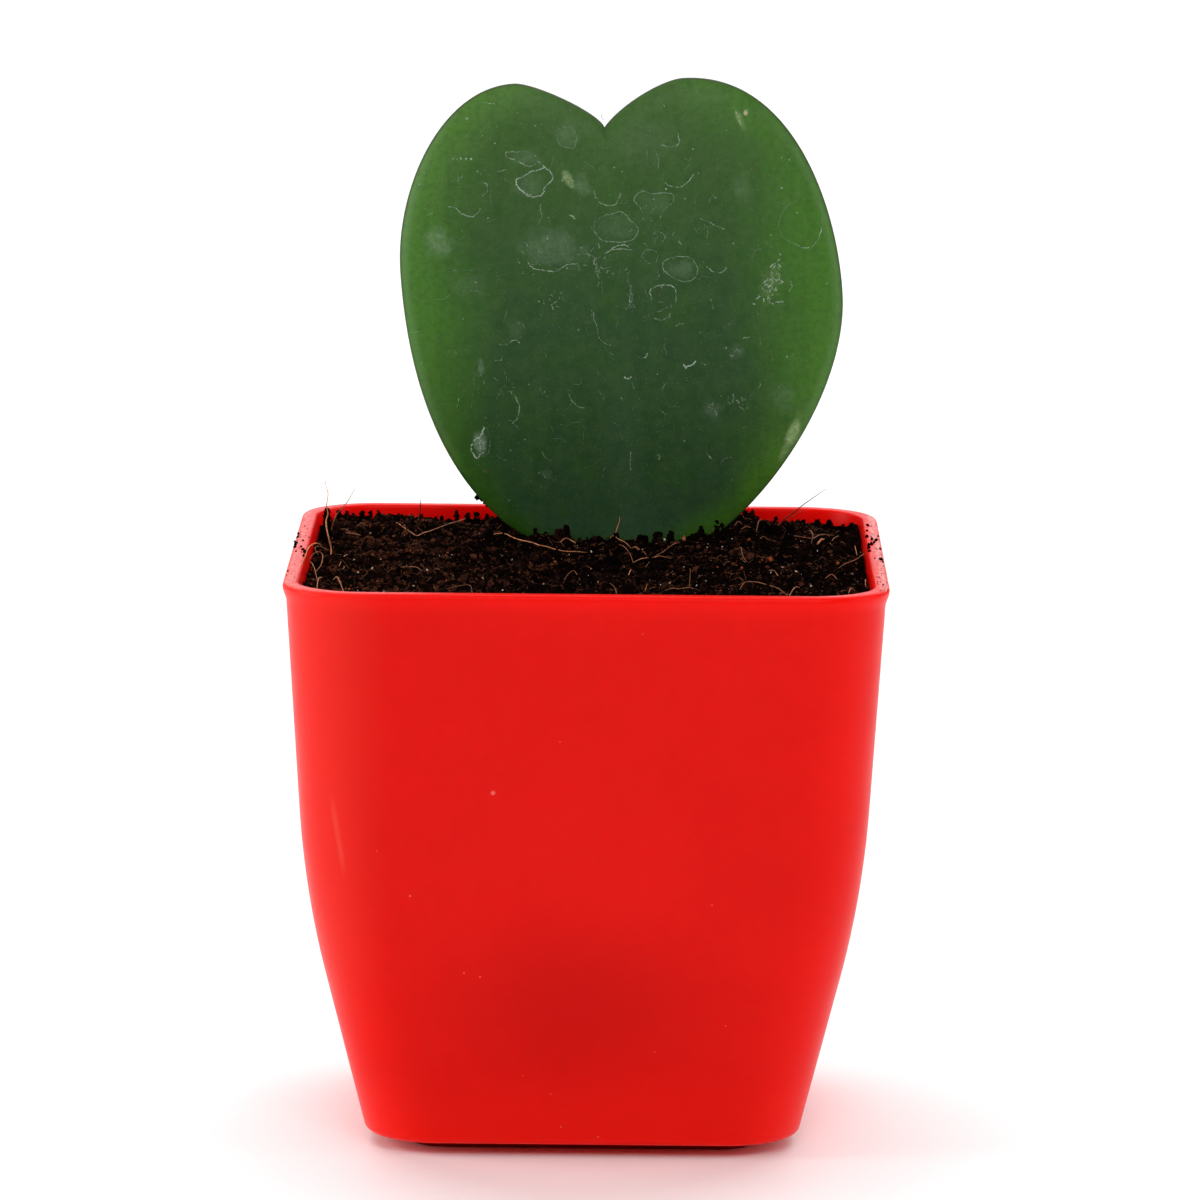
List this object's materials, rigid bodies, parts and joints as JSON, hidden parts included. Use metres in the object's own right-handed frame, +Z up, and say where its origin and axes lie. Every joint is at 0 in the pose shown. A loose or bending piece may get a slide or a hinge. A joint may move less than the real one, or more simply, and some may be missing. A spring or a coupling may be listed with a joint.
{
  "type": "potted hoya plant",
  "caption": "Heart-shaped hoya leaf standing upright in coir potting mix, in a red square plastic pot with round corners and a tapered base.",
  "frame": {"origin": "centre of the pot's footprint, on the surface it stands on", "axes": "+Z up; the leaf's broad front face looks towards -Y, and +X is to the right seen from the front"},
  "size_m": [0.1, 0.1, 0.175],
  "materials": {
    "red_plastic": "bright red moulded plastic, satin gloss, faint scuffs and moulding streaks",
    "potting_mix": null,
    "leaf": "thick waxy succulent leaf, dark green with a lighter yellow-green margin and pale water marks"
  },
  "bodies": {
    "root": {"pot": "red_plastic", "potting_mix": "potting_mix", "leaf": "leaf"}
  },
  "joints": []
}
